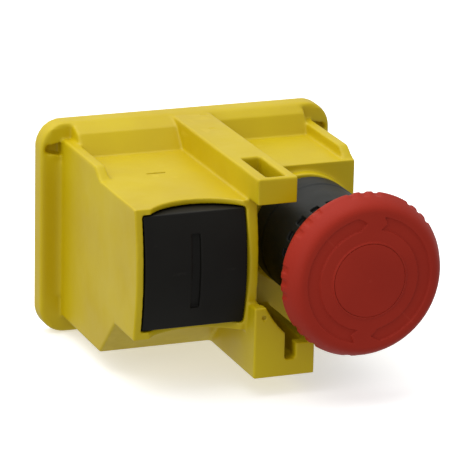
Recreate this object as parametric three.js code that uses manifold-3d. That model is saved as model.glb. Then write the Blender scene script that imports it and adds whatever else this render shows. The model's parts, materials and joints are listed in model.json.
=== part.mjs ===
// A machine start and emergency stop switch in one moulded housing.
// Millimetres. X is to the right, the operator faces the side at -Y, and Z is up.
// The origin is the centre of the flat back, so every depth in front of the panel is negative.

import * as THREE from "three";
import { mergeVertices } from "three/addons/utils/BufferGeometryUtils.js";
import Module from "manifold-3d";

const wasm = await Module();
wasm.setup();

// ---------------------------------------------------------------- driving dimensions

const GAP = 0.3; // between two pieces that touch
const WALL = 2.3; // of the moulded housing

const flange = { halfWidth: 37.9, halfHeight: 26.9, corner: 6.5, front: -5.2 };
const body = { halfWidth: 32.6, bottom: -22.3, top: 20.2, front: -34.2 };
const box = { left: -32.6, right: -2.3, bottom: -11.8, top: 20.2, front: -57.9, crown: 2 }; // round the start button
const arm = { left: -4.4, right: 5.5, bottom: 20.4, top: 26.7, front: -63.6 };
const armSlot = { left: -1.6, right: 3.1, back: -45.5, front: -62 };
const lug = { left: -4.4, right: 10.9, top: -4.9, rightTop: -14.4, front: -63.6, thick: 2.4, frontThick: 3 };
const lugSlot = { left: 3.4, right: 6.1, bottom: -18.2 };
const fence = { thick: 2.7, top: 22.8, front: -29.6, foot: -33.4 };

const start = { x: -17.9, z: 4.45 }; // the axis of the start button
const stop = { x: 18.4, z: 4.3 }; // the axis of the stop button
const button = { halfWidth: 12.6, halfHeight: 14, front: -57.9, crown: 2.4, back: -44, wall: 1.6 };
const boss = { radius: 14.2, front: -36.8 };
const barrel = { radius: 8, bore: 5.3, back: -27.5 };
const collar = { radius: 13.8, band: 14.0, back: -38.4, front: -62, pocket: 11.4, seat: -45 };
const stem = { radius: 5, back: -24, front: -71.5 };
const head = { radius: 20, rim: -72.3, face: -77.5, back: -66.2, skirt: 17.3 };
const headInside = { hollow: 15.2, web: -70.5, hub: 8.2, hubBack: -61 };
const disc = { radius: 8.6, seat: -76.3, front: -77.9 };

const base = { halfWidth: 31.6, bottom: -21.3, top: 19.2, thick: 3.2 };
const cableEntry = { x: 2.5, z: -13.5, radius: 4.7 };
const post = { radius: 2.7, front: -20 };
const postPlaces = [
  { x: -27.3, z: -16.8, towards: [-1, 0] },
  { x: 27.3, z: -16.8, towards: [1, 0] },
  { x: -17.9, z: 15.7, towards: [0, 1] },
  { x: 27.3, z: 14.7, towards: [1, 0] },
];
const contact = { inner: 6.3, outer: 12.6, width: 4.2, thick: 1, pillar: 9.2, screw: 10.9 };
const startContacts = { x: 8, back: -21.9 };
const stopContacts = { back: -20.4 };

// ---------------------------------------------------------------- materials

const paint = (color, roughness, metalness = 0) =>
  new THREE.MeshStandardMaterial({ color, roughness, metalness });
const material = {
  yellow: () => paint(0xe0c416, 0.42),
  black: () => paint(0x1c1b18, 0.5),
  collarBlack: () => paint(0x2a2c28, 0.55),
  red: () => paint(0xb8261c, 0.38),
  rubber: () => paint(0x161616, 0.85),
  white: () => paint(0xe6e2d6, 0.5),
  steel: () => paint(0xb4b6b8, 0.35, 0.9),
  spring: () => paint(0x9a9c9e, 0.3, 0.95),
  brass: () => paint(0xc8a24a, 0.35, 0.9),
  copper: () => paint(0xb4683a, 0.4, 0.9),
};

// ---------------------------------------------------------------- solids

// A closed geometry as a manifold solid, with its faces turned outwards.
function solid(geometry) {
  const bare = geometry.index ? geometry.toNonIndexed() : geometry.clone();
  bare.deleteAttribute("normal");
  bare.deleteAttribute("uv");
  const merged = mergeVertices(bare, 1e-4);
  const triangles = [];
  const all = merged.index.array;
  for (let i = 0; i < all.length; i += 3) {
    const [a, b, c] = all.subarray(i, i + 3);
    if (a !== b && b !== c && c !== a) triangles.push(a, b, c);
  }
  const mesh = (order) =>
    new wasm.Manifold(
      new wasm.Mesh({
        numProp: 3,
        vertProperties: merged.attributes.position.array,
        triVerts: new Uint32Array(order),
      }),
    );
  const made = mesh(triangles);
  return made.volume() > 0 ? made : mesh(triangles.reverse());
}

const join = (...pieces) => pieces.reduce((sum, piece) => sum.add(piece));
const cut = (piece, ...tools) => tools.reduce((left, tool) => left.subtract(tool), piece);

function geometryOf(made) {
  const mesh = made.getMesh();
  return new THREE.BufferGeometry()
    .setAttribute("position", new THREE.BufferAttribute(mesh.vertProperties, 3))
    .setIndex(new THREE.BufferAttribute(mesh.triVerts, 1));
}

// A block between two values on each axis.
function block([x0, x1], [y0, y1], [z0, z1]) {
  const size = [Math.abs(x1 - x0), Math.abs(y1 - y0), Math.abs(z1 - z0)];
  const middle = [(x0 + x1) / 2, (y0 + y1) / 2, (z0 + z1) / 2];
  return solid(new THREE.BoxGeometry(...size).translate(...middle));
}

// An outline drawn in X and Z, carried from depth y0 forward to y1.
function slab(shape, y0, y1, curveSegments = 6) {
  const settings = { depth: y0 - y1, bevelEnabled: false, curveSegments };
  return solid(new THREE.ExtrudeGeometry(shape, settings).rotateX(Math.PI / 2).translate(0, y0, 0));
}

// An outline drawn in Y and Z, carried across from x0 to x1.
function across(points, x0, x1) {
  const shape = new THREE.Shape(points.map(([y, z]) => new THREE.Vector2(y, z)));
  const made = new THREE.ExtrudeGeometry(shape, { depth: x1 - x0, bevelEnabled: false });
  const turn = new THREE.Matrix4().set(0, 0, 1, x0, 1, 0, 0, 0, 0, 1, 0, 0, 0, 0, 0, 1);
  return solid(made.applyMatrix4(turn));
}

// A profile of [radius, y] pairs turned round the Y axis.
function turned(profile, segments = 40) {
  const points = profile.map(([radius, y]) => new THREE.Vector2(radius, y));
  return solid(new THREE.LatheGeometry(points, segments));
}

const rod = (radius, y0, y1, segments) =>
  turned([[0, y0], [radius, y0], [radius, y1], [0, y1]], segments);

const ring = (inner, outer, y0, y1, segments) =>
  turned([[inner, y0], [outer, y0], [outer, y1], [inner, y1], [inner, y0]], segments);

function roundedRectangle(halfWidth, halfHeight, corner) {
  const shape = new THREE.Shape();
  const x = halfWidth - corner;
  const z = halfHeight - corner;
  shape.absarc(x, z, corner, 0, Math.PI / 2);
  shape.absarc(-x, z, corner, Math.PI / 2, Math.PI);
  shape.absarc(-x, -z, corner, Math.PI, 1.5 * Math.PI);
  shape.absarc(x, -z, corner, 1.5 * Math.PI, 2 * Math.PI);
  shape.closePath();
  return shape;
}

// A coil spring round the Y axis.
function coil({ radius, wire, back, front, turns }) {
  const stepsPerTurn = 10;
  const points = [];
  const steps = turns * stepsPerTurn;
  for (let i = 0; i <= steps; i++) {
    const angle = (2 * Math.PI * i) / stepsPerTurn;
    const y = THREE.MathUtils.lerp(back - wire, front + wire, i / steps);
    points.push(new THREE.Vector3(radius * Math.cos(angle), y, radius * Math.sin(angle)));
  }
  const path = new THREE.CatmullRomCurve3(points);
  const section = new THREE.Shape().absarc(0, 0, wire, 0, 2 * Math.PI);
  const settings = { extrudePath: path, steps, curveSegments: 2, bevelEnabled: false };
  return solid(new THREE.ExtrudeGeometry(section, settings));
}

// ---------------------------------------------------------------- scene graph

const root = new THREE.Group();
const startSide = new THREE.Group();
const stopSide = new THREE.Group();
startSide.position.set(start.x, 0, start.z);
stopSide.position.set(stop.x, 0, stop.z);
root.add(startSide, stopSide);

function node(group, name, made, look) {
  const mesh = new THREE.Mesh(geometryOf(made), look);
  mesh.name = name;
  group.add(mesh);
}

// ---------------------------------------------------------------- housing

// The shoulder that runs from the flange down to the body's top.
function shoulder(x0, x1, foot) {
  const brow = flange.front + (foot - flange.front) / 2;
  const outline = [
    [-1, body.top - 1],
    [-1, flange.halfHeight - 0.2],
    [flange.front, flange.halfHeight - 0.2],
    [brow, flange.halfHeight - 1.9],
    [foot, body.top],
    [foot, body.top - 1],
  ];
  return across(outline, x0, x1);
}

function sideFence(side) {
  const outline = [
    [-1, body.top - 1],
    [-1, fence.top],
    [fence.front, fence.top],
    [fence.foot, body.top],
    [fence.foot, body.top - 1],
  ];
  const outer = side * body.halfWidth;
  const inner = side * (body.halfWidth - fence.thick);
  return across(outline, Math.min(inner, outer), Math.max(inner, outer));
}

// The slope under the start box, or with an inset the hollow behind it.
function underSlope(inset) {
  const reach = box.bottom - body.bottom;
  const outline = [
    [body.front + inset, body.bottom + inset],
    [body.front + inset, box.bottom + inset],
    [body.front - reach + inset, box.bottom + inset],
  ];
  return across(outline, box.left + inset, arm.left - (inset ? 1 : -1));
}

// The box under the stop button: its left side is cut round the head, and its right side is lower.
function lugSolid() {
  const depth = [body.front + 1, lug.front];
  const faceDepth = [lug.front + lug.frontThick, lug.front];
  const leftWall = block([lug.left, lug.left + lug.thick], depth, [body.bottom, lug.top]);
  const leftFace = block([lug.left, lugSlot.right], faceDepth, [body.bottom, lug.top]);
  const rightWall = block([lug.right - lug.thick, lug.right], depth, [body.bottom, lug.rightTop]);
  const rightFace = block([lugSlot.left, lug.right], faceDepth, [body.bottom, lug.rightTop]);
  const floor = block([lug.left, lug.right], depth, [body.bottom, body.bottom + lug.thick]);
  const clearance = 21.9;
  const sweep = rod(clearance, body.front + 2, lug.front - 1, 96).translate([stop.x, 0, stop.z]);
  const slotDepth = [lug.front + lug.frontThick + 1, lug.front - 1];
  const slot = block([lugSlot.left, lugSlot.right], slotDepth, [lugSlot.bottom, 0]);
  return cut(join(cut(join(leftWall, leftFace), sweep), rightWall, rightFace, floor), slot);
}

// A wedge-shaped hook recess in the flange's front, beside the body near the top.
function hookRecess(side) {
  const shape = new THREE.Shape([
    new THREE.Vector2(side * 36.7, 21.2),
    new THREE.Vector2(side * body.halfWidth, 22.1),
    new THREE.Vector2(side * body.halfWidth, 18.6),
    new THREE.Vector2(side * 36.7, 19.5),
  ]);
  const depth = 2.6;
  return slab(shape, flange.front + depth, flange.front - 1);
}

// The box round the start button, whose front is crowned from top to bottom like the button's.
function startBox() {
  const half = (box.top - box.bottom) / 2;
  const steps = 16;
  const outline = [[body.front + 1, box.bottom]];
  for (let i = 0; i <= steps; i++) {
    const share = (2 * i) / steps - 1;
    outline.push([box.front - box.crown * (1 - share ** 2), box.bottom + half * (1 + share)]);
  }
  outline.push([body.front + 1, box.top]);
  return across(outline, box.left, box.right);
}

// The finger scallop across the front of the start box.
function scallop() {
  const radius = 15.7;
  const depth = 4.8;
  const cylinder = new THREE.CylinderGeometry(radius, radius, 60, 128).rotateX(Math.PI / 2);
  return solid(cylinder.translate(-17.2, box.front + depth - radius, 0));
}

// A post for one base screw, with the rib that ties it to the nearest wall.
function screwPost({ x, z, towards: [right, up] }) {
  const depth = [-base.thick - GAP, post.front];
  const reach = 3.6;
  const rib = block(
    [x + right * reach - Math.abs(up), x + Math.abs(up)],
    depth,
    [z - Math.abs(right), z + up * (reach - 1) + Math.abs(right)]);
  return join(rod(post.radius, ...depth, 20).translate([x, 0, z]), rib);
}

function housing() {
  const plate = slab(
    roundedRectangle(flange.halfWidth, flange.halfHeight, flange.corner), 0, flange.front, 12);
  const trunk = block(
    [-body.halfWidth, body.halfWidth], [-1, body.front], [body.bottom, body.top]);
  const beam = block([arm.left, arm.right], [-1, arm.front], [box.top - 1, arm.top]);
  const beamGap = block([box.right, arm.right + 1], [body.front, arm.front - 1], [0, arm.bottom]);
  const beamNose = block([arm.left - 1, box.right + 1], [box.front, arm.front - 1], [0, arm.bottom]);
  const fenceInner = body.halfWidth - fence.thick;
  const ringBoss = rod(boss.radius, body.front + 1, boss.front, 56).translate([stop.x, 0, stop.z]);
  const outside = join(
    cut(join(plate, trunk, startBox()), scallop()),
    shoulder(-fenceInner - 0.3, arm.left + 1, -14),
    shoulder(arm.right - 1, fenceInner + 0.3, -10.3),
    sideFence(-1),
    sideFence(1),
    underSlope(0),
    cut(beam, beamGap, beamNose),
    lugSolid(),
    ringBoss,
  );

  const inner = body.halfWidth - WALL;
  const insideDepth = [1, body.front + WALL];
  const hollow = block([-inner, inner], insideDepth, [body.bottom + WALL, body.top - WALL]);
  const seat = block(
    [-base.halfWidth - GAP, base.halfWidth + GAP],
    [1, -base.thick - GAP],
    [base.bottom - GAP, base.top + GAP]);
  const opening = block(
    [start.x - button.halfWidth - GAP, start.x + button.halfWidth + GAP],
    [body.front + 4, box.front - 10],
    [start.z - button.halfHeight - GAP, start.z + button.halfHeight + GAP]);
  const barrelHole = rod(barrel.radius + GAP, body.front + 4, boss.front - 1).translate(
    [stop.x, 0, stop.z]);
  const slot = block(
    [armSlot.left, armSlot.right], [armSlot.back, armSlot.front], [arm.bottom - 1, arm.top + 1]);
  const shell = cut(
    outside, hollow, seat, opening, underSlope(WALL), barrelHole, slot, gasketGroove(),
    hookRecess(-1), hookRecess(1));

  const pilot = 1.35;
  const pilots = postPlaces.map(({ x, z }) => rod(pilot, -base.thick, -14, 16).translate([x, 0, z]));
  return cut(join(shell, ...postPlaces.map(screwPost)), ...pilots);
}

// A ring in the back of the flange, as the groove or as the gasket that lies in it.
function gasketRing(clear, depth) {
  const outer = roundedRectangle(35.7 + clear, 24.9 + clear, 4.5 + clear);
  outer.holes.push(roundedRectangle(33.9 - clear, 23.1 - clear, 2.7 - clear));
  return slab(outer, clear, -depth, 4);
}

const gasketGroove = () => gasketRing(GAP, 1.6 + GAP);

// ---------------------------------------------------------------- switch base and its screws

function pillar(x, z, sign, top) {
  const rows = [z + sign * contact.pillar, z + sign * (contact.outer + 0.2)].sort((a, b) => a - b);
  const half = contact.width / 2 + 0.2;
  const made = block([x - half, x + half], [-base.thick + 1, top], rows);
  return cut(made, rod(1.15, top + 6, top - 1, 8).translate([x, 0, z + sign * contact.screw]));
}

const startPads = [
  [-startContacts.x, 1], [startContacts.x, 1], [-startContacts.x, -1], [startContacts.x, -1],
];

function switchBase() {
  const plate = block(
    [-base.halfWidth, base.halfWidth], [0, -base.thick], [base.bottom, base.top]);
  const startTop = startContacts.back + GAP;
  const stopTop = stopContacts.back + GAP;
  const startPillars = startPads.map(([x, sign]) => pillar(start.x + x, start.z, sign, startTop));
  const stopPillars = [1, -1].map((sign) => pillar(stop.x, stop.z, sign, stopTop));
  const startSpigot = rod(2.6, -base.thick + 1, -12, 20).translate([start.x + 12, 0, start.z]);
  const stopSpigot = rod(3.2, -base.thick + 1, -6, 20).translate([stop.x, 0, stop.z]);
  const holes = postPlaces.map(({ x, z }) =>
    join(rod(1.5, 1, -base.thick - 1, 12), rod(3, 1, -1.9, 16)).translate([x, 0, z]));
  const entry = rod(cableEntry.radius, 1, -base.thick - 1, 28)
    .translate([cableEntry.x, 0, cableEntry.z]);
  return cut(
    join(plate, ...startPillars, ...stopPillars, startSpigot, stopSpigot), ...holes, entry);
}

// A cable grommet that lines the hole where the leads leave the base.
function grommet() {
  const flangeRadius = 5.9;
  const throat = 4.4;
  const bore = 3.2;
  return turned([
    [bore, -0.2], [throat, -0.2], [throat, -base.thick - GAP], [flangeRadius, -base.thick - GAP],
    [flangeRadius, -base.thick - 1.5], [bore, -base.thick - 1.5], [bore, -0.2],
  ], 28);
}

// A cross-recess screw with its head at the back.
function baseScrew() {
  const made = turned([
    [0, -0.3], [2.5, -0.3], [2.5, -1.6], [1.05, -1.6], [1.05, -11], [0.4, -12], [0, -12],
  ], 12);
  const crossways = block([-1.5, 1.5], [1, -0.9], [-0.25, 0.25]);
  const upright = block([-0.25, 0.25], [1, -0.9], [-1.5, 1.5]);
  return cut(made, crossways, upright);
}

// A slotted terminal screw, whose head faces the front and stands on a contact strip.
function terminalScrew(seat) {
  const made = turned([
    [0, seat + 5], [0.85, seat + 5], [0.85, seat], [1.6, seat], [1.6, seat - 1.2], [0, seat - 1.2],
  ], 12);
  return cut(made, block([-2, 2], [seat - 0.7, seat - 2], [-0.25, 0.25]));
}

function contactStrip(x, z, sign, back) {
  const rows = [z + sign * contact.inner, z + sign * contact.outer].sort((a, b) => a - b);
  const half = contact.width / 2;
  const strip = block([x - half, x + half], [back, back - contact.thick], rows);
  return cut(strip, rod(1.15, back + 1, back - 3, 8).translate([x, 0, z + sign * contact.screw]));
}

// ---------------------------------------------------------------- start side, about its own axis

// The crowned front of the start button, as [y, z] points sunk below it by a depth.
function buttonFace(sunk) {
  const { halfHeight, front, crown } = button;
  const radius = (halfHeight ** 2 + crown ** 2) / (2 * crown);
  const steps = 14;
  const points = [];
  for (let i = 0; i <= steps; i++) {
    const z = THREE.MathUtils.lerp(-halfHeight, halfHeight, i / steps);
    points.push([front - crown + radius - Math.sqrt(radius ** 2 - z ** 2) + sunk, z]);
  }
  return points;
}

function startButton() {
  const { halfWidth, halfHeight, front, crown, back, wall } = button;
  const shell = across([[back, -halfHeight], ...buttonFace(0), [back, halfHeight]], -halfWidth, halfWidth);
  const hollow = block(
    [wall - halfWidth, halfWidth - wall], [back + 1, front + 2.6], [wall - halfHeight, halfHeight - wall]);
  const before = front - crown - 1;
  const bar = { halfWidth: 1.1, halfHeight: 9, depth: 0.6 };
  const inFront = across(
    [...buttonFace(bar.depth), [before, halfHeight], [before, -halfHeight]], -bar.halfWidth, bar.halfWidth);
  const mark = inFront.intersect(
    block([-halfWidth, halfWidth], [0, 2 * before], [-bar.halfHeight, bar.halfHeight]));
  return cut(shell, hollow, mark);
}

const startPlunger = () =>
  turned([
    [0, button.front + 3], [5, button.front + 3], [5, button.front + 4.2], [3, button.front + 4.2],
    [3, -31.6], [0, -31.6],
  ], 28);

const guideSeat = -41.6;

function buttonGuide() {
  const web = block(
    [-button.halfWidth, button.halfWidth], [-36.5, -39], [-button.halfHeight, button.halfHeight]);
  const hub = rod(6, -34, guideSeat, 28);
  const bore = rod(3.3, -33, guideSeat - 1, 24);
  const sealSeat = rod(5.3, -33, -35.8, 24);
  const windows = [-1, 1].map((side) => block([-6, 6], [-36, -40], [side * 8, side * 12]));
  return cut(join(web, hub), bore, sealSeat, ...windows);
}

const armatureBack = -19.6;
const core = { halfWidth: 4, halfHeight: 8.2, legInner: 6.9, front: -17 };

const armature = () => block([-5, 5], [armatureBack, armatureBack - 2], [-core.halfHeight, core.halfHeight]);

const carrierBack = -26.5;

function startCarrier() {
  const bar = block([-11, 13.4], [carrierBack, -30], [-3.6, 3.6]);
  const post = block([-2.4, 2.4], [armatureBack - 2 - GAP, carrierBack - 1], [-2.4, 2.4]);
  return join(bar, post);
}

// A moving strip that joins two fixed contacts.
function bridge(x, back) {
  const halfLength = contact.pillar - 0.4;
  return block([x - 1.8, x + 1.8], [back, back - 0.8], [-halfLength, halfLength]);
}

// An E-shaped iron core, open to the front.
function magnetCore() {
  const { halfWidth, halfHeight, legInner, front } = core;
  const wide = [-halfWidth, halfWidth];
  const yoke = block(wide, [-3.6, -6.6], [-halfHeight, halfHeight]);
  const centre = block(wide, [-6, front], [-2.2, 2.2]);
  const outer = [-1, 1].map((side) => block(wide, [-6, front], [side * legInner, side * halfHeight]));
  return join(yoke, centre, ...outer);
}

const bobbin = { back: -7, front: -16.6, cheek: 0.8, halfWidth: 6.8, halfHeight: 6.6, tube: 0.7 };

function coilBobbin() {
  const { back, front, cheek, halfWidth, halfHeight, tube } = bobbin;
  const cheeks = [[back, back - cheek], [front + cheek, front]].map((depth) =>
    block([-halfWidth, halfWidth], depth, [-halfHeight, halfHeight]));
  const core = block([-4.3 - tube, 4.3 + tube], [back, front], [-2.5 - tube, 2.5 + tube]);
  return cut(join(...cheeks, core), block([-4.3, 4.3], [back + 1, front - 1], [-2.5, 2.5]));
}

function coilWinding() {
  const { back, front, cheek, halfWidth, halfHeight, tube } = bobbin;
  const outline = roundedRectangle(halfWidth - 0.3, halfHeight - 0.3, 1.6);
  outline.holes.push(roundedRectangle(4.3 + tube + 0.3, 2.5 + tube + 0.3, 0.3));
  return slab(outline, back - cheek - 0.2, front + cheek + 0.2, 5);
}

// ---------------------------------------------------------------- stop side, about its own axis

function collarSolid() {
  const made = turned([
    [barrel.bore, barrel.back], [barrel.radius, barrel.back], [barrel.radius, collar.back],
    [collar.band, collar.back], [collar.band, collar.back - 6], [collar.radius, collar.back - 6.3],
    [collar.radius, collar.front + 0.6], [collar.radius - 0.6, collar.front],
    [collar.pocket, collar.front], [collar.pocket, collar.seat], [barrel.bore, collar.seat],
    [barrel.bore, -35.2], [6.5, -35.2], [6.5, -33.2], [barrel.bore, -33.2],
    [barrel.bore, barrel.back],
  ], 44);
  const notches = [];
  const count = 20;
  for (let i = 0; i < count; i++) {
    const notch = new THREE.BoxGeometry(2, 5, 2.2)
      .translate(collar.radius, collar.front + 2.2, 0)
      .rotateY((2 * Math.PI * (i + 0.5)) / count);
    notches.push(solid(notch));
  }
  return cut(made, ...notches);
}

function collarNut() {
  const cornerRadius = 11.4;
  const thick = 3.2;
  const front = body.front + WALL + GAP;
  const hexagon = new THREE.CylinderGeometry(cornerRadius, cornerRadius, thick, 6)
    .translate(0, front + thick / 2, 0);
  return cut(solid(hexagon), rod(barrel.radius + GAP, front + 4, front - 1, 40));
}

const collarSeal = () => ring(barrel.radius + 0.4, 13.3, boss.front - GAP, collar.back + GAP, 48);
const stemSeal = () => ring(stem.radius + 0.2, 6.3, -33.4, -35, 36);

function stemSolid() {
  const made = turned([
    [0, stem.back], [stem.radius - 0.5, stem.back], [stem.radius, stem.back - 0.5],
    [stem.radius, -26.1], [4.3, -26.1], [4.3, -27.3], [stem.radius, -27.3],
    [stem.radius, stem.front], [0, stem.front],
  ], 32);
  return cut(made, rod(1.9, -63.5, stem.front - 1, 16));
}

function circlip() {
  const made = ring(4.5, 6.1, -26.3, -27.1, 28);
  return cut(made, block([-1.6, 1.6], [-26, -28], [3, 7]));
}

function latchRing() {
  const made = ring(stem.radius + 0.35, 9.4, -57.6, -60.6, 40);
  const lugs = [];
  const count = 3;
  for (let i = 0; i < count; i++) {
    const tooth = new THREE.BoxGeometry(3, 3, 3.4)
      .translate(9.6, -59.1, 0)
      .rotateY((2 * Math.PI * i) / count);
    lugs.push(solid(tooth));
  }
  return join(made, ...lugs);
}

// Eight groups of three grip notches round the rim.
function gripNotches() {
  const groups = 8;
  const pitch = THREE.MathUtils.degToRad(9);
  const tools = [];
  for (let group = 0; group < groups; group++) {
    for (const place of [-1, 0, 1]) {
      const angle = (2 * Math.PI * group) / groups + place * pitch;
      const reach = head.radius + 0.5;
      const tool = rod(1, head.back, head.rim - 2.2, 6);
      tools.push(tool.translate([reach * Math.cos(angle), 0, reach * Math.sin(angle)]));
    }
  }
  return tools;
}

function mushroomCap() {
  const { radius, rim, face, back, skirt } = head;
  const { hollow, web, hub, hubBack } = headInside;
  const lip = disc.radius + GAP;
  const screwSeat = { radius: 3.4, y: -74, bore: 2 };
  const made = turned([
    [stem.radius + GAP, hubBack], [hub, hubBack], [hub, web], [hollow, web], [hollow, back],
    [skirt - 0.3, back], [skirt, back - 0.3], [radius, rim + 0.4], [radius, rim - 0.3],
    [19.3, -74.2], [18.1, -75.8], [16.8, -76.9], [15.4, face], [lip, face],
    [lip, disc.seat], [screwSeat.radius, disc.seat], [screwSeat.radius, screwSeat.y],
    [screwSeat.bore, screwSeat.y], [screwSeat.bore, stem.front - GAP],
    [stem.radius + GAP, stem.front - GAP], [stem.radius + GAP, hubBack],
  ], 56);
  return cut(made, ...gripNotches());
}

const centreDisc = () =>
  turned([
    [0, disc.seat - 0.2], [disc.radius, disc.seat - 0.2], [disc.radius, head.face + 0.1],
    [disc.radius - 0.3, head.face - 0.1], [0, disc.front],
  ], 56);

const capScrew = () =>
  turned([
    [0, -64.5], [1.5, -64.5], [1.5, -74.3], [3, -74.3], [3, -75.9], [0, -75.9],
  ], 20);

const stopCarrierBack = -20.3;

function stopCarrier() {
  const shoe = block([-3.6, 3.6], [stopCarrierBack, -23.6], [-3, 3]);
  return join(shoe, rod(1.4, -14, stopCarrierBack - 1, 16));
}

const stopBridge = () => cut(bridge(0, -19.2), rod(1.7, -18, -21, 16));

// ---------------------------------------------------------------- assembly

node(root, "housing", housing(), material.yellow());
node(root, "rear_gasket", gasketRing(0, 1.6), material.rubber());
node(root, "switch_base", switchBase(), material.black());
node(root, "cable_grommet", grommet().translate([cableEntry.x, 0, cableEntry.z]), material.rubber());
postPlaces.forEach(({ x, z }, i) =>
  node(root, `base_screw_${i + 1}`, baseScrew().translate([x, 0, z]), material.steel()));

node(startSide, "start_button", startButton(), material.black());
node(startSide, "start_plunger", startPlunger(), material.white());
node(startSide, "start_spring",
  coil({ radius: 4.3, wire: 0.4, back: guideSeat - 0.3, front: -53.4, turns: 5 }), material.spring());
node(startSide, "button_guide", buttonGuide(), material.black());
node(startSide, "plunger_seal", ring(3.2, 5, -34.2, -35.5, 28), material.rubber());
node(startSide, "start_contact_carrier", startCarrier(), material.white());
node(startSide, "armature", armature(), material.steel());
[-1, 1].forEach((side, i) =>
  node(startSide, `start_contact_bridge_${i + 1}`,
    bridge(side * startContacts.x, -25.4), material.copper()));
node(startSide, "magnet_core", magnetCore(), material.steel());
node(startSide, "coil_bobbin", coilBobbin(), material.white());
node(startSide, "coil_winding", coilWinding(), material.copper());
node(startSide, "carrier_spring",
  coil({ radius: 1.9, wire: 0.3, back: -12.3, front: carrierBack + 0.3, turns: 6 })
    .translate([12, 0, 0]), material.spring());
startPads.forEach(([x, sign], i) => {
  node(startSide, `start_fixed_contact_${i + 1}`,
    contactStrip(x, 0, sign, startContacts.back), material.brass());
  const seat = startContacts.back - contact.thick - 0.25;
  node(startSide, `start_terminal_screw_${i + 1}`,
    terminalScrew(seat).translate([x, 0, sign * contact.screw]), material.steel());
});

node(stopSide, "collar", collarSolid(), material.collarBlack());
node(stopSide, "collar_seal", collarSeal(), material.rubber());
node(stopSide, "collar_nut", collarNut(), material.collarBlack());
node(stopSide, "stem_seal", stemSeal(), material.rubber());
node(stopSide, "stop_stem", stemSolid(), material.white());
node(stopSide, "stem_circlip", circlip(), material.steel());
node(stopSide, "cap_screw", capScrew(), material.steel());
node(stopSide, "stop_spring",
  coil({ radius: 7.3, wire: 0.5, back: collar.seat - 0.3, front: -57.3, turns: 5 }), material.spring());
node(stopSide, "mushroom_cap", mushroomCap(), material.red());
node(stopSide, "cap_centre_disc", centreDisc(), material.red());
node(stopSide, "latch_ring", latchRing(), material.white());
node(stopSide, "twist_spring",
  coil({ radius: 9.6, wire: 0.4, back: -63.5, front: -69.5, turns: 4 }), material.spring());
node(stopSide, "stop_contact_carrier", stopCarrier(), material.white());
node(stopSide, "stop_contact_bridge", stopBridge(), material.copper());
node(stopSide, "stop_carrier_spring",
  coil({ radius: 2.3, wire: 0.3, back: -6.3, front: -18.9, turns: 6 }), material.spring());
[1, -1].forEach((sign, i) => {
  node(stopSide, `stop_fixed_contact_${i + 1}`,
    contactStrip(0, 0, sign, stopContacts.back), material.brass());
  const seat = stopContacts.back - contact.thick - 0.25;
  node(stopSide, `stop_terminal_screw_${i + 1}`,
    terminalScrew(seat).translate([0, 0, sign * contact.screw]), material.steel());
});

export default root;
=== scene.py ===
"""The looks of a start and emergency stop switch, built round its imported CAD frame.

Meshes are made in millimetres, in the frame's own axes, and turned into metres when a piece is finished.
"""

import json
import math

import bmesh
import bpy
import numpy as np
from mathutils import Matrix, Vector


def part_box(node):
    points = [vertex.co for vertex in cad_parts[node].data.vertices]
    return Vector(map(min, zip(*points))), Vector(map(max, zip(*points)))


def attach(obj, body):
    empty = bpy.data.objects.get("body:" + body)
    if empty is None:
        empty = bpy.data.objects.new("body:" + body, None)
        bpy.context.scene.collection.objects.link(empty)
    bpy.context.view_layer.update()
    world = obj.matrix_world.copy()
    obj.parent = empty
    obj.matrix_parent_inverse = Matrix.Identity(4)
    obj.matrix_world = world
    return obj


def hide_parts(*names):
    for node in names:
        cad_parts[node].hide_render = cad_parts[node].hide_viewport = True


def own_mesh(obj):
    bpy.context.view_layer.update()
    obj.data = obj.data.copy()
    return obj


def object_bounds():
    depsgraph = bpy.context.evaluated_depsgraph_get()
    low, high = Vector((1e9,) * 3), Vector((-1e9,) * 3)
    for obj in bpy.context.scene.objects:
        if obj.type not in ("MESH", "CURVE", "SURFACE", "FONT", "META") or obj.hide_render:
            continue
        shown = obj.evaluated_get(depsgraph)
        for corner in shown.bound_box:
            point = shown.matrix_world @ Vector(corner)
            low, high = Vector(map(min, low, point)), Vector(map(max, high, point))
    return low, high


MM = 0.001

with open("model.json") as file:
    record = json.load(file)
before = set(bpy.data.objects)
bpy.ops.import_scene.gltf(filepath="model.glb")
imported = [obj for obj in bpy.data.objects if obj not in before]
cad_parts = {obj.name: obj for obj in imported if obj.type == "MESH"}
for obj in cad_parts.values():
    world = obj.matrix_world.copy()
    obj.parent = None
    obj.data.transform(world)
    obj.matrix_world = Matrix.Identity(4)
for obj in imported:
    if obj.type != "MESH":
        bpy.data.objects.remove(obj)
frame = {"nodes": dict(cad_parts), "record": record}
cad_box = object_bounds()
scene = bpy.context.scene


# ---------------------------------------------------------------- places, from the frame

def box_mm(node):
    low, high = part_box(node)
    return low / MM, high / MM


def middle(node):
    low, high = box_mm(node)
    return (low + high) / 2


BODY = box_mm("housing")
STOP = middle("collar_nut")  # the stop button's axis, in X and Z
START = middle("start_button")  # the start button's axis, in X and Z
HEAD_BOX = box_mm("mushroom_cap")
DISC_BOX = box_mm("cap_centre_disc")
COLLAR_BOX = box_mm("collar")
BUTTON_BOX = box_mm("start_button")

HEAD_RADIUS = 20.0
FLAT_RADIUS = 16.2  # where the head's face starts to fall away to its rim
FACE = HEAD_BOX[0].y
RIM = FACE + 5.0  # the head's widest place
SKIRT = RIM + 6.3  # the back of the head's side
WEB = RIM + 2.0  # the underside of the face
DISC_RADIUS = DISC_BOX[1].x - STOP.x
BODY_TOP = 20.2  # the body's top, below the arm and the side walls


# ---------------------------------------------------------------- mesh tools

def object_from(bm, name):
    bmesh.ops.recalc_face_normals(bm, faces=bm.faces)
    mesh = bpy.data.meshes.new(name)
    bm.to_mesh(mesh)
    bm.free()
    obj = bpy.data.objects.new(name, mesh)
    scene.collection.objects.link(obj)
    return obj


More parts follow.
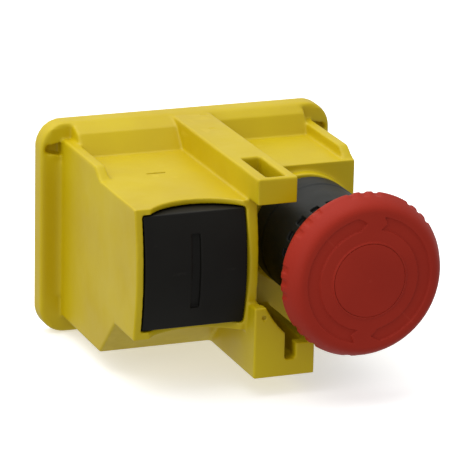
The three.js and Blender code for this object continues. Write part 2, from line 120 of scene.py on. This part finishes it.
def remove(*objects):
    for obj in objects:
        bpy.data.objects.remove(obj)


def apply_modifiers(obj):
    bpy.context.view_layer.update()
    evaluated = obj.evaluated_get(bpy.context.evaluated_depsgraph_get())
    mesh = bpy.data.meshes.new_from_object(evaluated)
    obj.modifiers.clear()
    obj.data = mesh
    return obj


def cad_copy(node, name):
    mesh = frame["nodes"][node].data.copy()
    mesh.materials.clear()
    mesh.transform(Matrix.Scale(1 / MM, 4))
    bm = bmesh.new()
    bm.from_mesh(mesh)
    bmesh.ops.remove_doubles(bm, verts=bm.verts, dist=1e-4)
    bpy.data.meshes.remove(mesh)
    return object_from(bm, name)


def block(low, high, name="block"):
    bm = bmesh.new()
    size = Vector(high) - Vector(low)
    at = Matrix.Translation((Vector(low) + Vector(high)) / 2)
    bmesh.ops.create_cube(bm, size=1, matrix=at @ Matrix.Diagonal((*size, 1)))
    return object_from(bm, name)


def lathe(profile, name, centre, segments=192, shape=None, closed=False):
    """A profile of (radius, y) turned round the Y axis through centre. shape moves a point by its angle."""
    bm = bmesh.new()
    rings = []
    for radius, y in profile:
        count = 1 if radius < 1e-6 else segments
        points = []
        for i in range(count):
            angle = 2 * math.pi * i / segments
            r, depth = shape(radius, y, angle) if shape else (radius, y)
            points.append(bm.verts.new(
                (centre.x + r * math.cos(angle), depth, centre.z + r * math.sin(angle))))
        rings.append(points)
    pairs = list(zip(rings, rings[1:]))
    if closed:
        pairs.append((rings[-1], rings[0]))
    for one, two in pairs:
        for i in range(segments):
            j = (i + 1) % segments
            corners = [one[i % len(one)], one[j % len(one)], two[j % len(two)], two[i % len(two)]]
            corners = list(dict.fromkeys(corners))
            if len(corners) > 2:
                bm.faces.new(corners)
    return object_from(bm, name)


def prism(points, x0, x1, name):
    """An outline of (y, z) points carried across from x0 to x1."""
    bm = bmesh.new()
    ends = [[bm.verts.new((x, y, z)) for y, z in points] for x in (x0, x1)]
    for face in ends:
        bm.faces.new(face)
    for i in range(len(points)):
        j = (i + 1) % len(points)
        bm.faces.new((ends[0][i], ends[0][j], ends[1][j], ends[1][i]))
    return object_from(bm, name)


def cut(obj, *tools, solver="EXACT"):
    for tool in tools:
        boolean = obj.modifiers.new("cut", "BOOLEAN")
        boolean.operation = "DIFFERENCE"
        boolean.solver = solver
        boolean.object = tool
    apply_modifiers(obj)
    remove(*tools)
    return obj


def soften(obj, voxel, steps):
    """Moulded edges: an even mesh whose edges and corners are rounded by repeated smoothing."""
    remesh = obj.modifiers.new("even mesh", "REMESH")
    remesh.mode = "VOXEL"
    remesh.voxel_size = voxel
    remesh.use_smooth_shade = True
    smooth = obj.modifiers.new("rounded edges", "SMOOTH")
    smooth.factor = 0.5
    smooth.iterations = steps
    return apply_modifiers(obj)


def coordinates(obj):
    values = np.zeros(len(obj.data.vertices) * 3)
    obj.data.vertices.foreach_get("co", values)
    return values.reshape(-1, 3)


def set_coordinates(obj, values):
    obj.data.vertices.foreach_set("co", values.astype(np.float32).ravel())
    obj.data.update()


def round_more(obj, chosen, steps):
    """Further rounding of the vertices that chosen, a mask over the coordinates, picks out."""
    group = obj.vertex_groups.new(name="round")
    group.add([int(i) for i in np.flatnonzero(chosen)], 1.0, "REPLACE")
    smooth = obj.modifiers.new("rounder edges", "SMOOTH")
    smooth.vertex_group = "round"
    smooth.factor = 0.5
    smooth.iterations = steps
    apply_modifiers(obj)
    obj.vertex_groups.clear()


def dent(obj, centre, half, depth, axis, soft=0.22):
    """Pushes a small patch in along an axis by depth. half is its half size, with None along that axis."""
    values = coordinates(obj)
    weight = np.ones(len(values))
    for k in range(3):
        if half[k] is None:
            weight *= np.abs(values[:, k] - centre[k]) < 1.2
        else:
            inside = (half[k] + soft - np.abs(values[:, k] - centre[k])) / soft
            weight *= np.clip(inside, 0, 1)
    values[:, axis] += depth * weight
    set_coordinates(obj, values)


def thin_out(obj, faces):
    """Thins a mesh that has more triangles than faces."""
    obj.data.calc_loop_triangles()
    count = len(obj.data.loop_triangles)
    if count > faces:
        decimate = obj.modifiers.new("thinner mesh", "DECIMATE")
        decimate.ratio = faces / count
        apply_modifiers(obj)


def piece(obj, body, slot, look, *nodes, weighted=True):
    """Turns a finished mesh into metres, with its material, its body and the nodes that it stands for."""
    obj.data.transform(Matrix.Scale(MM, 4))
    obj.data.materials.clear()
    obj.data.materials.append(look)
    for polygon in obj.data.polygons:
        polygon.use_smooth = True
    if weighted:
        normals = obj.modifiers.new("flat faces stay flat", "WEIGHTED_NORMAL")
        normals.weight = 60
    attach(obj, body)
    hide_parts(*nodes)
    return obj


# ---------------------------------------------------------------- materials

def srgb(code):
    values = [int(code[i:i + 2], 16) / 255 for i in (0, 2, 4)]
    return [v / 12.92 if v <= 0.04045 else ((v + 0.055) / 1.055) ** 2.4 for v in values] + [1.0]


class Look:
    """A procedural material: a shader and the few node chains that the looks share."""

    def __init__(self, name, roughness, metallic=0.0, coat=0.0, specular=0.5):
        self.material = bpy.data.materials.new(name)
        self.material.use_nodes = True
        self.tree = self.material.node_tree
        self.shader = self.tree.nodes["Principled BSDF"]
        self.shader.inputs["Metallic"].default_value = metallic
        self.shader.inputs["Roughness"].default_value = roughness
        self.shader.inputs["Coat Weight"].default_value = coat
        self.shader.inputs["Coat Roughness"].default_value = 0.25
        self.shader.inputs["Specular IOR Level"].default_value = specular
        self.place = self.tree.nodes.new("ShaderNodeTexCoord").outputs["Object"]
        self.normal = None

    def node(self, kind, **values):
        made = self.tree.nodes.new(kind)
        for key, value in values.items():
            if key in made.inputs:
                made.inputs[key].default_value = value
            else:
                setattr(made, key, value)
        return made

    def link(self, source, target):
        self.tree.links.new(source, target)

    def noise(self, per_metre, detail=3.0, stretch=None):
        made = self.node("ShaderNodeTexNoise", Scale=per_metre, Detail=detail)
        place = self.place
        if stretch:
            mapping = self.node("ShaderNodeMapping", Scale=stretch)
            self.link(place, mapping.inputs["Vector"])
            place = mapping.outputs["Vector"]
        self.link(place, made.inputs["Vector"])
        return made.outputs["Fac"]

    def ramp(self, source, *stops):
        made = self.node("ShaderNodeValToRGB")
        elements = made.color_ramp.elements
        while len(elements) < len(stops):
            elements.new(0.5)
        for element, (place, colour) in zip(elements, stops):
            element.position = place
            element.color = colour
        self.link(source, made.inputs["Fac"])
        return made.outputs["Color"]

    def mix(self, factor, one, two, blend="MIX"):
        made = self.tree.nodes.new("ShaderNodeMix")
        made.data_type = "RGBA"
        made.blend_type = blend
        for target, value in zip(("Factor", "A", "B"), (factor, one, two)):
            socket = [s for s in made.inputs if s.name == target and s.enabled][0]
            if isinstance(value, bpy.types.NodeSocket):
                self.link(value, socket)
            else:
                socket.default_value = value
        return [s for s in made.outputs if s.enabled][0]

    def spread(self, source, low, high):
        made = self.node("ShaderNodeMapRange")
        made.inputs["From Min"].default_value = 0.3
        made.inputs["From Max"].default_value = 0.7
        made.inputs["To Min"].default_value = low
        made.inputs["To Max"].default_value = high
        self.link(source, made.inputs["Value"])
        return made.outputs["Result"]

    def bump(self, height, strength, distance):
        made = self.node("ShaderNodeBump", Strength=strength, Distance=distance)
        self.link(height, made.inputs["Height"])
        if self.normal:
            self.link(self.normal, made.inputs["Normal"])
        self.normal = made.outputs["Normal"]
        self.link(self.normal, self.shader.inputs["Normal"])

    def colour(self, source):
        self.link(source, self.shader.inputs["Base Color"])

    def rough(self, source):
        self.link(source, self.shader.inputs["Roughness"])


def moulded(name, deep, plain, wear_and_highlight_tint, roughness, grain=2200, strength=0.12, specular=0.5):
    """Moulded plastic: cloudy colour, a fine grain, and a paler tint in patches on sharp edges, partly edge
    wear and partly a painted edge highlight.
    """
    look = Look(name, roughness, specular=specular)
    cloud = look.noise(45, 4)
    base = look.ramp(cloud, (0.35, srgb(deep)), (0.65, srgb(plain)))
    # sharp edges, picked out by Pointiness, get a paler tint in patches: partly edge wear, partly a painted
    # edge highlight
    edges = look.ramp(look.node("ShaderNodeNewGeometry").outputs["Pointiness"],
                      (0.505, (0, 0, 0, 1)), (0.56, (1, 1, 1, 1)))
    wear_and_highlight_patches = look.ramp(look.noise(260, 5), (0.45, (0, 0, 0, 1)), (0.75, (0.5, 0.5, 0.5, 1)))
    wear_and_edge_highlight = look.mix(1.0, edges, wear_and_highlight_patches, "MULTIPLY")
    look.colour(look.mix(wear_and_edge_highlight, base, srgb(wear_and_highlight_tint)))
    look.rough(look.spread(look.noise(130, 4), roughness - 0.06, roughness + 0.07))
    look.bump(look.noise(grain, 2), strength, 0.00003)
    look.bump(look.noise(90, 2), 0.08, 0.00015)
    return look.material


def metal(name, dark, light, roughness, stretch=(1, 14, 1)):
    """Metal with drawn or turned streaks and small tarnish spots."""
    look = Look(name, roughness, metallic=1.0)
    streaks = look.noise(700, 4, stretch)
    tarnish = look.ramp(look.noise(180, 5), (0.42, srgb(dark)), (0.6, srgb(light)))
    look.colour(look.mix(look.spread(streaks, 0.0, 0.35), tarnish, srgb(dark)))
    look.rough(look.spread(streaks, roughness - 0.08, roughness + 0.14))
    look.bump(streaks, 0.15, 0.00002)
    return look.material


def winding_look():
    """Enamelled wire laid side by side round the coil's Y axis."""
    look = Look("copper_winding", 0.3, metallic=0.9, coat=0.4)
    wave = look.node("ShaderNodeTexWave", Scale=900.0, Distortion=0.4, bands_direction="Y")
    look.link(look.place, wave.inputs["Vector"])
    look.colour(look.ramp(wave.outputs["Fac"], (0.1, srgb("5A2A14")), (0.8, srgb("C8733C"))))
    look.bump(wave.outputs["Fac"], 0.6, 0.0001)
    return look.material


# the third colour of each moulding is its paler edge tint: partly edge wear, partly a painted edge highlight
LOOKS = {
    "yellow_housing": moulded("yellow_moulding", "C4AA02", "CCB402", "D8C038", 0.42, specular=0.3),
    "black_plastic": moulded("black_moulding", "141310", "191814", "2E2C28", 0.5, 3000, 0.2, specular=0.15),
    "collar_plastic": moulded(
        "collar_moulding", "141613", "1A1C19", "383A36", 0.5, 3000, 0.15, specular=0.22),
    "red_cap": moulded("red_moulding", "9C281A", "A42C1D", "B43E2E", 0.5, specular=0.12),
    "rubber": moulded("black_rubber", "0E0E0D", "161615", "2A2A28", 0.8, grain=1800, strength=0.3),
    "white_plastic": moulded("natural_nylon", "D2CDBB", "DFDBCB", "EFECE2", 0.5),
    "steel": metal("plated_steel", "7C7F82", "C2C4C6", 0.3),
    "spring_steel": metal("spring_wire", "5F6265", "A4A7AA", 0.28, (14, 1, 14)),
    "iron_core": metal("laminated_iron", "3E3F40", "7A7B7D", 0.45, (14, 1, 1)),
    "brass": metal("stamped_brass", "8A6726", "D2AC54", 0.3),
    "copper": metal("bare_copper", "8A4624", "C87A48", 0.32),
}


# ---------------------------------------------------------------- housing

FLANGE_RIM_X, FLANGE_RIM_Z = 2.6, 1.4  # how far in from the flange's ends and sides its rim reaches
FLANGE_RIM_Y = (-6.6, -1.5)
WALL_FOOT_X = (30.5, 36.0)  # on both sides of the middle
WALL_FOOT_Y = (-10.5, -4.0)
WALL_FOOT_Z = 17.5  # half the foot's height
WALL_INSIDE_X, WALL_TOP_Z, WALL_BACK_Y = 29.5, 20.6, -6.5
EJECTOR_MARKS = ((3.3, -7.6), (0.7, -19.9))  # X and Y, on the arm's top
EJECTOR_HALF, EJECTOR_DEPTH = 0.7, 0.12
DASH_X, DASH_Y, DASH_DEPTH = (-20.0, -15.3), (-31.25, -30.75), 0.4
DIMPLE = Vector((-2.0, 0, -7.3))  # on the lug's front
DIMPLE_RADIUS, DIMPLE_DEPTH = 0.55, 0.5


def within(values, limits):
    low, high = limits
    return (values > low) & (values < high)


def flange_mask(values):
    """The flange's outer rim, whose edges are rounder than the rest."""
    _, high = BODY
    beside = np.abs(values[:, 0]) > high.x - FLANGE_RIM_X
    above = np.abs(values[:, 2]) > high.z - FLANGE_RIM_Z
    return (beside | above) & within(values[:, 1], FLANGE_RIM_Y)


def foot_mask(values):
    """The hollow corner where the side walls meet the flange's front."""
    beside = within(np.abs(values[:, 0]), WALL_FOOT_X) & (np.abs(values[:, 2]) < WALL_FOOT_Z)
    return beside & within(values[:, 1], WALL_FOOT_Y)


def wing_mask(values):
    """The tops of the two thin side walls."""
    side = np.abs(values[:, 0]) > WALL_INSIDE_X
    top = (values[:, 2] > WALL_TOP_Z) & (values[:, 1] < WALL_BACK_Y)
    return side & top


def drill(centre, radius, near, far):
    """A round tool along Y."""
    return lathe([(0, near), (radius, near), (radius, far), (0, far)], "drill", centre, segments=48)


def housing_shell():
    """The housing with rounded edges, two faint ejector marks, and a dash and a dimple sunk in it."""
    low, high = BODY
    shell = soften(cad_copy("housing", "housing_shell"), 0.3, 7)
    round_more(shell, flange_mask(coordinates(shell)), 60)
    round_more(shell, wing_mask(coordinates(shell)), 16)
    round_more(shell, foot_mask(coordinates(shell)), 120)
    for x, y in EJECTOR_MARKS:
        dent(shell, (x, y, high.z), (EJECTOR_HALF, EJECTOR_HALF, None), -EJECTOR_DEPTH, 2)
    thin_out(shell, 189_000)
    dash = block(
        (DASH_X[0], DASH_Y[0], BODY_TOP - DASH_DEPTH), (DASH_X[1], DASH_Y[1], BODY_TOP + 1), "dash")
    dimple = drill(DIMPLE, DIMPLE_RADIUS, low.y + DIMPLE_DEPTH, low.y - 1)
    cut(shell, dash, dimple, solver="FAST")
    return piece(shell, "frame", "yellow_housing", LOOKS["yellow_housing"], "housing")


# ---------------------------------------------------------------- start button

CROWN = 2.4
BUTTON_WALL = 1.6


def crowned(sunk, steps=64):
    """The button's front as (y, z) points, crowned about a level axis and sunk by a depth."""
    low, high = BUTTON_BOX
    half = (high.z - low.z) / 2
    radius = (half ** 2 + CROWN ** 2) / (2 * CROWN)
    points = []
    for i in range(steps + 1):
        z = -half + 2 * half * i / steps
        points.append((low.y + sunk + radius - math.sqrt(radius ** 2 - z ** 2), START.z + z))
    return points


def start_key():
    """The hollow start button, with an upright bar sunk in its crowned front."""
    low, high = BUTTON_BOX
    front = low.y + CROWN
    key = prism([(high.y, low.z), *crowned(0), (high.y, high.z)], low.x, high.x, "start_key")
    wall = Vector((BUTTON_WALL, 0, BUTTON_WALL))
    hollow = block(
        (low.x + wall.x, front + 2.6, low.z + wall.z), (high.x - wall.x, high.y + 1, high.z - wall.z))
    bar_half_width, bar_half_height, bar_depth = 1.1, 9.0, 0.9
    band = prism(
        [*crowned(bar_depth), (low.y - 1, high.z), (low.y - 1, low.z)],
        START.x - bar_half_width, START.x + bar_half_width, "bar")
    for end in (1, -1):
        edge = START.z + end * bar_half_height
        cut(band, block((low.x, low.y - 3, min(edge, edge + end * 20)),
                        (high.x, low.y + 9, max(edge, edge + end * 20))))
    cut(key, hollow, band)
    soften(key, 0.17, 6)
    thin_out(key, 90_000)
    return piece(key, "start_push", "black_plastic", LOOKS["black_plastic"], "start_button")


# ---------------------------------------------------------------- stop collar

def collar_shell():
    """The threaded barrel, the band, and the cup whose front edge is slotted all round."""
    low, high = COLLAR_BOX
    radius, band, pocket, barrel, bore = 13.8, 14.0, 11.4, 8.0, 5.3
    back, band_length, seat = -38.4, 6.0, -45.0
    notch_half, notch_depth, count = 1.1, 4.7, 20
    seal_radius, seal_back, seal_front = 6.5, -33.2, -35.2
    profile = [
        (bore, high.y), (barrel, high.y), (barrel, back), (band, back), (band, back - band_length),
        (radius, back - band_length - 0.3), (radius, low.y + 0.6), (radius - 0.6, low.y), (pocket, low.y),
        (pocket, seat), (bore, seat),
        (bore, seal_front), (seal_radius, seal_front), (seal_radius, seal_back), (bore, seal_back),
    ]
    shell = lathe(profile, "collar_shell", STOP, closed=True)
    notches = []
    for i in range(count):
        turn = Matrix.Rotation(-2 * math.pi * (i + 0.5) / count, 4, "Y")
        notch = block(
            (radius - 1, low.y - 0.5, -notch_half), (radius + 2, low.y + notch_depth, notch_half), "notch")
        notch.data.transform(Matrix.Translation((STOP.x, 0, STOP.z)) @ turn)
        notches.append(notch)
    cut(shell, *notches)
    soften(shell, 0.2, 4)
    thin_out(shell, 120_000)
    return piece(shell, "frame", "collar_plastic", LOOKS["collar_plastic"], "collar")


# ---------------------------------------------------------------- mushroom head

ARROW = {
    "inner": 12.3, "outer": 15.4, "depth": 0.45,
    "tip": 93.7, "shoulder": 8.0, "tail": 257.0, "notch": 4.5,  # in degrees
}


def smoothstep(value):
    value = min(1.0, max(0.0, value))
    return value * value * (3 - 2 * value)


def arrow_depth(radius, angle):
    """How deep the two curved arrows, half a turn apart, are sunk at a place on the face."""
    soft = 0.22
    middle_radius = (ARROW["inner"] + ARROW["outer"]) / 2
    half = (ARROW["outer"] - ARROW["inner"]) / 2
    across = abs(radius - middle_radius)
    deepest = 0.0
    for turn in (0.0, 180.0):
        degrees = (math.degrees(angle) + turn - ARROW["tip"]) % 360
        length = ARROW["tail"] - ARROW["tip"]
        from_tip = degrees
        from_tail = length - degrees + ARROW["notch"] * (across / half - 1)
        if from_tip > length + 20:
            continue
        share = min(1.0, from_tip / ARROW["shoulder"])
        arc = math.radians(1) * middle_radius
        edge = min(half * share - across, from_tip * arc, from_tail * arc)
        deepest = max(deepest, smoothstep(edge / soft + 0.5))
    return ARROW["depth"] * deepest


def grip(radius, y, angle):
    """Eight groups of three grip grooves, cut across the rim and fading towards the face and the skirt."""
    pitch, half_width, depth = math.radians(9), 0.9, 0.36
    group = math.radians(45)
    local = (angle + group / 2) % group - group / 2
    away = min(abs(local - place * pitch) for place in (-1, 0, 1)) * HEAD_RADIUS
    groove = math.sqrt(max(0.0, 1 - (away / half_width) ** 2))
    along = smoothstep((y - (RIM - 2.0)) / 1.5) * smoothstep((RIM + 4.0 - y) / 2.5)
    return depth * groove * along


def head_surface(radius, y, angle):
    if y < FACE + 0.1 and 10 < radius < FLAT_RADIUS:
        return radius, y + arrow_depth(radius, angle)
    if radius > 17:
        return radius - grip(radius, y, angle), y
    return radius, y


def face_depth(radius):
    """Flat out to FLAT_RADIUS, and then falling away to the rim more and more steeply."""
    share = max(0.0, radius - FLAT_RADIUS) / (HEAD_RADIUS - FLAT_RADIUS)
    return FACE + (RIM - FACE) * share ** 2.3


def curve(start, corner, end, steps=14):
    """A quadratic curve that leaves start towards corner and arrives at end from it."""
    shares = [i / steps for i in range(steps + 1)]
    return [tuple(a * (1 - t) ** 2 + b * 2 * t * (1 - t) + c * t ** 2 for a, b, c in zip(start, corner, end))
            for t in shares]


def mushroom():
    """The head: a flat face, a border that falls to the rim, a tapered skirt, and a hub inside."""
    back_end = HEAD_BOX[1].y
    stem, stem_front, hub, hollow = 5.3, -71.8, 8.2, 15.2
    seat, screw_seat, screw_hole, screw_bore = DISC_BOX[1].y, FACE + 3.5, 3.4, 2.0
    lip, lip_width, lip_height = DISC_RADIUS + 0.3, 0.65, 0.28
    first, last = lip + lip_width, HEAD_RADIUS - 0.35
    count = int((last - first) / 0.13)
    front = [(r, face_depth(r)) for r in (first + i * (last - first) / count for i in range(count + 1))]
    back = (HEAD_RADIUS - 0.45, RIM + 1.4)
    rim = curve(front[-1], (HEAD_RADIUS + 0.35, RIM + 0.4), back)
    skirt = (17.4, SKIRT - 0.5)
    side = [tuple(a + (b - a) * i / 14 for a, b in zip(back, skirt)) for i in range(1, 15)]
    profile = [
        (screw_hole, screw_seat), (screw_hole, seat), (lip - 0.15, seat), (lip, seat - 0.15),
        (lip, FACE - lip_height + 0.1), (lip + 0.1, FACE - lip_height),
        *curve(
            (lip + 0.15, FACE - lip_height), (lip + 0.35, FACE - lip_height), (lip + 0.45, FACE - 0.08), 5),
        *front, *rim[1:], *side,
        *curve(skirt, (17.1, SKIRT), (16.6, SKIRT), 4)[1:],
        (hollow + 0.4, SKIRT), (hollow + 0.1, SKIRT - 0.1), (hollow, SKIRT - 0.4),
        (hollow, WEB + 0.5), (hollow - 0.15, WEB + 0.15), (hollow - 0.5, WEB),
        (hub + 0.5, WEB), (hub + 0.15, WEB + 0.15), (hub, WEB + 0.5), (hub, back_end - 0.3),
        (hub - 0.3, back_end), (stem + 0.3, back_end), (stem, back_end - 0.3),
        (stem, stem_front), (screw_bore, stem_front), (screw_bore, screw_seat),
    ]
    cap = lathe(profile, "mushroom_head", STOP, segments=720, shape=head_surface, closed=True)
    return piece(cap, "stop_cap", "red_cap", LOOKS["red_cap"], "mushroom_cap")


def head_disc():
    """The head's centre, a hair narrower than its seat, with a rounded edge and a shallow crown."""
    low, high = DISC_BOX
    radius, edge, crown = DISC_RADIUS + 0.25, 0.15, 0.12
    flat = radius - edge
    top = [(flat * i / 40, low.y + crown * (i / 40) ** 2) for i in range(40)]
    rim = low.y + crown
    profile = [*top, *curve((flat, rim), (radius, rim), (radius, rim + edge), 5),
               (radius, high.y - 0.15), (radius - 0.15, high.y), (0, high.y)]
    disc = lathe(profile, "head_disc", STOP)
    return piece(disc, "stop_cap", "red_cap", LOOKS["red_cap"], "cap_centre_disc")


# ---------------------------------------------------------------- back and small pieces

def base_plate():
    """The plate that closes the back and carries the contacts."""
    plate = soften(cad_copy("switch_base", "base_plate"), 0.25, 3)
    thin_out(plate, 90_000)
    return piece(plate, "frame", "black_plastic", LOOKS["black_plastic"], "switch_base")


def back_screw(index):
    """A cross-head screw with a threaded shank."""
    node = f"base_screw_{index}"
    centre = middle(node)
    shank, thread_depth, half_pitch, end = 1.05, 0.14, 0.35, -12.0
    thread = [(shank - thread_depth * (i % 2), -1.9 - half_pitch * i) for i in range(26)]
    profile = [
        (0, -0.3), (1.9, -0.35), (2.3, -0.55), (2.5, -0.95), (2.5, -1.5), (2.4, -1.6), (shank, -1.6),
        *thread, (0.4, end), (0, end),
    ]
    screw = lathe(profile, f"back_screw_{index}", centre, segments=48)
    reach, half = 1.6, 0.27
    for size in ((reach, half), (half, reach)):
        tool = block(
            (centre.x - size[0], -0.95, centre.z - size[1]), (centre.x + size[0], 1, centre.z + size[1]))
        cut(screw, tool)
    return piece(screw, "frame", "steel", LOOKS["steel"], node)


def grommet():
    """The rubber sleeve round the cable entry."""
    low, high = box_mm("cable_grommet")
    centre = middle("cable_grommet")
    bore, throat, wide = 3.2, 4.4, high.x - centre.x
    seat = -3.5
    profile = [
        (bore + 0.25, high.y), (throat - 0.3, high.y), (throat, high.y - 0.25), (throat, seat + 0.1),
        (wide - 0.3, seat), (wide, seat - 0.3), (wide, low.y + 0.3), (wide - 0.3, low.y),
        (bore + 0.3, low.y), (bore, low.y + 0.3), (bore, high.y - 0.25),
    ]
    made = lathe(profile, "cable_entry_grommet", centre, segments=96, closed=True)
    return piece(made, "frame", "rubber", LOOKS["rubber"], "cable_grommet")


def back_gasket():
    """The seal in the groove round the flange's back."""
    gasket = soften(cad_copy("rear_gasket", "back_gasket"), 0.2, 3)
    thin_out(gasket, 40_000)
    return piece(gasket, "frame", "rubber", LOOKS["rubber"], "rear_gasket")


# ---------------------------------------------------------------- springs

def spring(node, body, turns, wire, joint=None, slot="spring_steel"):
    """A drawn wire coil, which gets a mesh of its own when it has a joint."""
    low, high = box_mm(node)
    centre = middle(node)
    radius = (high.x - low.x) / 2 - wire
    length = high.y - low.y
    bm = bmesh.new()
    sides, steps = 12, turns * 36
    rings = []
    for i in range(steps + 1):
        share = i / steps
        angle = 2 * math.pi * turns * share
        y = high.y - wire - (length - 2 * wire) * share
        out = Vector((math.cos(angle), 0, math.sin(angle)))
        at = Vector((centre.x, y, centre.z)) + radius * out
        rings.append([
            bm.verts.new(at + wire * (math.cos(t) * out + math.sin(t) * Vector((0, 1, 0))))
            for t in (2 * math.pi * k / sides for k in range(sides))])
    for one, two in zip(rings, rings[1:]):
        for k in range(sides):
            bm.faces.new((one[k], one[(k + 1) % sides], two[(k + 1) % sides], two[k]))
    bm.faces.new(rings[0])
    bm.faces.new(rings[-1])
    made = piece(object_from(bm, node + "_coil"), body, slot, LOOKS[slot], node, weighted=False)
    if joint:
        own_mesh(made)
    return made


def springs():
    """The five springs, with each one's body, turns, wire radius and joint."""
    spring("start_spring", "frame", 5, 0.4, "start_press")
    spring("carrier_spring", "frame", 6, 0.3, "start_contact_travel")
    spring("stop_spring", "frame", 5, 0.5, "stop_press")
    spring("stop_carrier_spring", "frame", 6, 0.3, "stop_contact_travel")
    spring("twist_spring", "stop_cap", 4, 0.4)


# ---------------------------------------------------------------- the CAD nodes that stay

def dress_cad_nodes():
    """Gives each node that still shows its own look."""
    slots = {entry["node"]: entry["material_slot"] for entry in frame["record"]["subparts"]}
    winding = winding_look()
    for name, obj in frame["nodes"].items():
        if obj.hide_render:
            continue
        look = winding if name == "coil_winding" else LOOKS[slots[name]]
        for held in obj.material_slots:
            held.material = look


# ---------------------------------------------------------------- studio

def camera():
    """The view from the front left and above, as a long lens sees it."""
    azimuth, elevation, roll = (math.radians(v) for v in (-21.514, 17.481, 1.262))
    distance, right_shift, up_shift = 893.66, 13.991, -5.965
    back = Vector((math.sin(azimuth) * math.cos(elevation), -math.cos(azimuth) * math.cos(elevation),
                   math.sin(elevation)))
    level = Vector((math.cos(azimuth), math.sin(azimuth), 0))
    upright = back.cross(level)
    right = math.cos(roll) * level + math.sin(roll) * upright
    up = math.cos(roll) * upright - math.sin(roll) * level
    data = bpy.data.cameras.new("camera")
    data.sensor_width = 36
    data.lens = 274.4
    data.clip_start, data.clip_end = 0.05, 20
    made = bpy.data.objects.new("camera", data)
    scene.collection.objects.link(made)
    turn = Matrix((right, up, back)).transposed().to_4x4()
    place = distance * back + right_shift * right + up_shift * up
    made.matrix_world = Matrix.Translation(place * MM) @ turn
    scene.camera = made


def soft_light(name, place, size, power):
    """A broad lamp that points at the part."""
    data = bpy.data.lights.new(name, "AREA")
    data.shape = "RECTANGLE"
    data.size, data.size_y = size
    data.energy = power
    made = bpy.data.objects.new(name, data)
    made.location = place
    made.rotation_mode = "QUATERNION"
    made.rotation_quaternion = (-Vector(place)).to_track_quat("-Z", "Y")
    scene.collection.objects.link(made)


def sky():
    """White light from all round: bright above and behind, and dimmer towards the operator."""
    world = bpy.data.worlds.new("studio")
    world.use_nodes = True
    nodes, links = world.node_tree.nodes, world.node_tree.links
    towards = nodes.new("ShaderNodeVectorMath")
    towards.operation = "DOT_PRODUCT"
    towards.inputs[1].default_value = Vector((-0.35, 0.3, 0.89)).normalized()
    links.new(nodes.new("ShaderNodeTexCoord").outputs["Generated"], towards.inputs[0])
    strength = nodes.new("ShaderNodeMapRange")
    for name, value in (("From Min", -0.1), ("From Max", 0.9), ("To Min", 0.55), ("To Max", 0.8)):
        strength.inputs[name].default_value = value
    links.new(towards.outputs["Value"], strength.inputs["Value"])
    background = nodes["Background"]
    background.inputs["Color"].default_value = (1, 1, 1, 1)
    links.new(strength.outputs["Result"], background.inputs["Strength"])
    scene.world = world


def studio():
    """A pale floor that stays white, and two soft lamps."""
    low, _ = cad_box
    bm = bmesh.new()
    bmesh.ops.create_grid(bm, x_segments=8, y_segments=8, size=15)
    floor = object_from(bm, "floor")
    floor.location.z = low.z - 0.0002
    look = Look("pale_floor", 0.9, specular=0.1)
    look.colour(look.ramp(look.noise(6, 2), (0.3, (0.88, 0.88, 0.88, 1)), (0.7, (0.91, 0.91, 0.91, 1))))
    look.shader.inputs["Emission Color"].default_value = (1, 1, 1, 1)
    look.shader.inputs["Emission Strength"].default_value = 0.45
    floor.data.materials.append(look.material)
    floor.visible_diffuse = False
    floor.visible_glossy = False
    sky()
    soft_light("key", (-0.25, 0.2, 0.9), (1.2, 1.2), 7.3)
    soft_light("left_fill", (-0.9, -0.35, 0.3), (0.6, 0.6), 1.2)
    scene.view_settings.view_transform = "Standard"


camera()
studio()
housing_shell()
start_key()
collar_shell()
mushroom()
head_disc()
base_plate()
for screw_index in range(1, 5):
    back_screw(screw_index)
grommet()
back_gasket()
springs()
dress_cad_nodes()

bpy.context.view_layer.update()
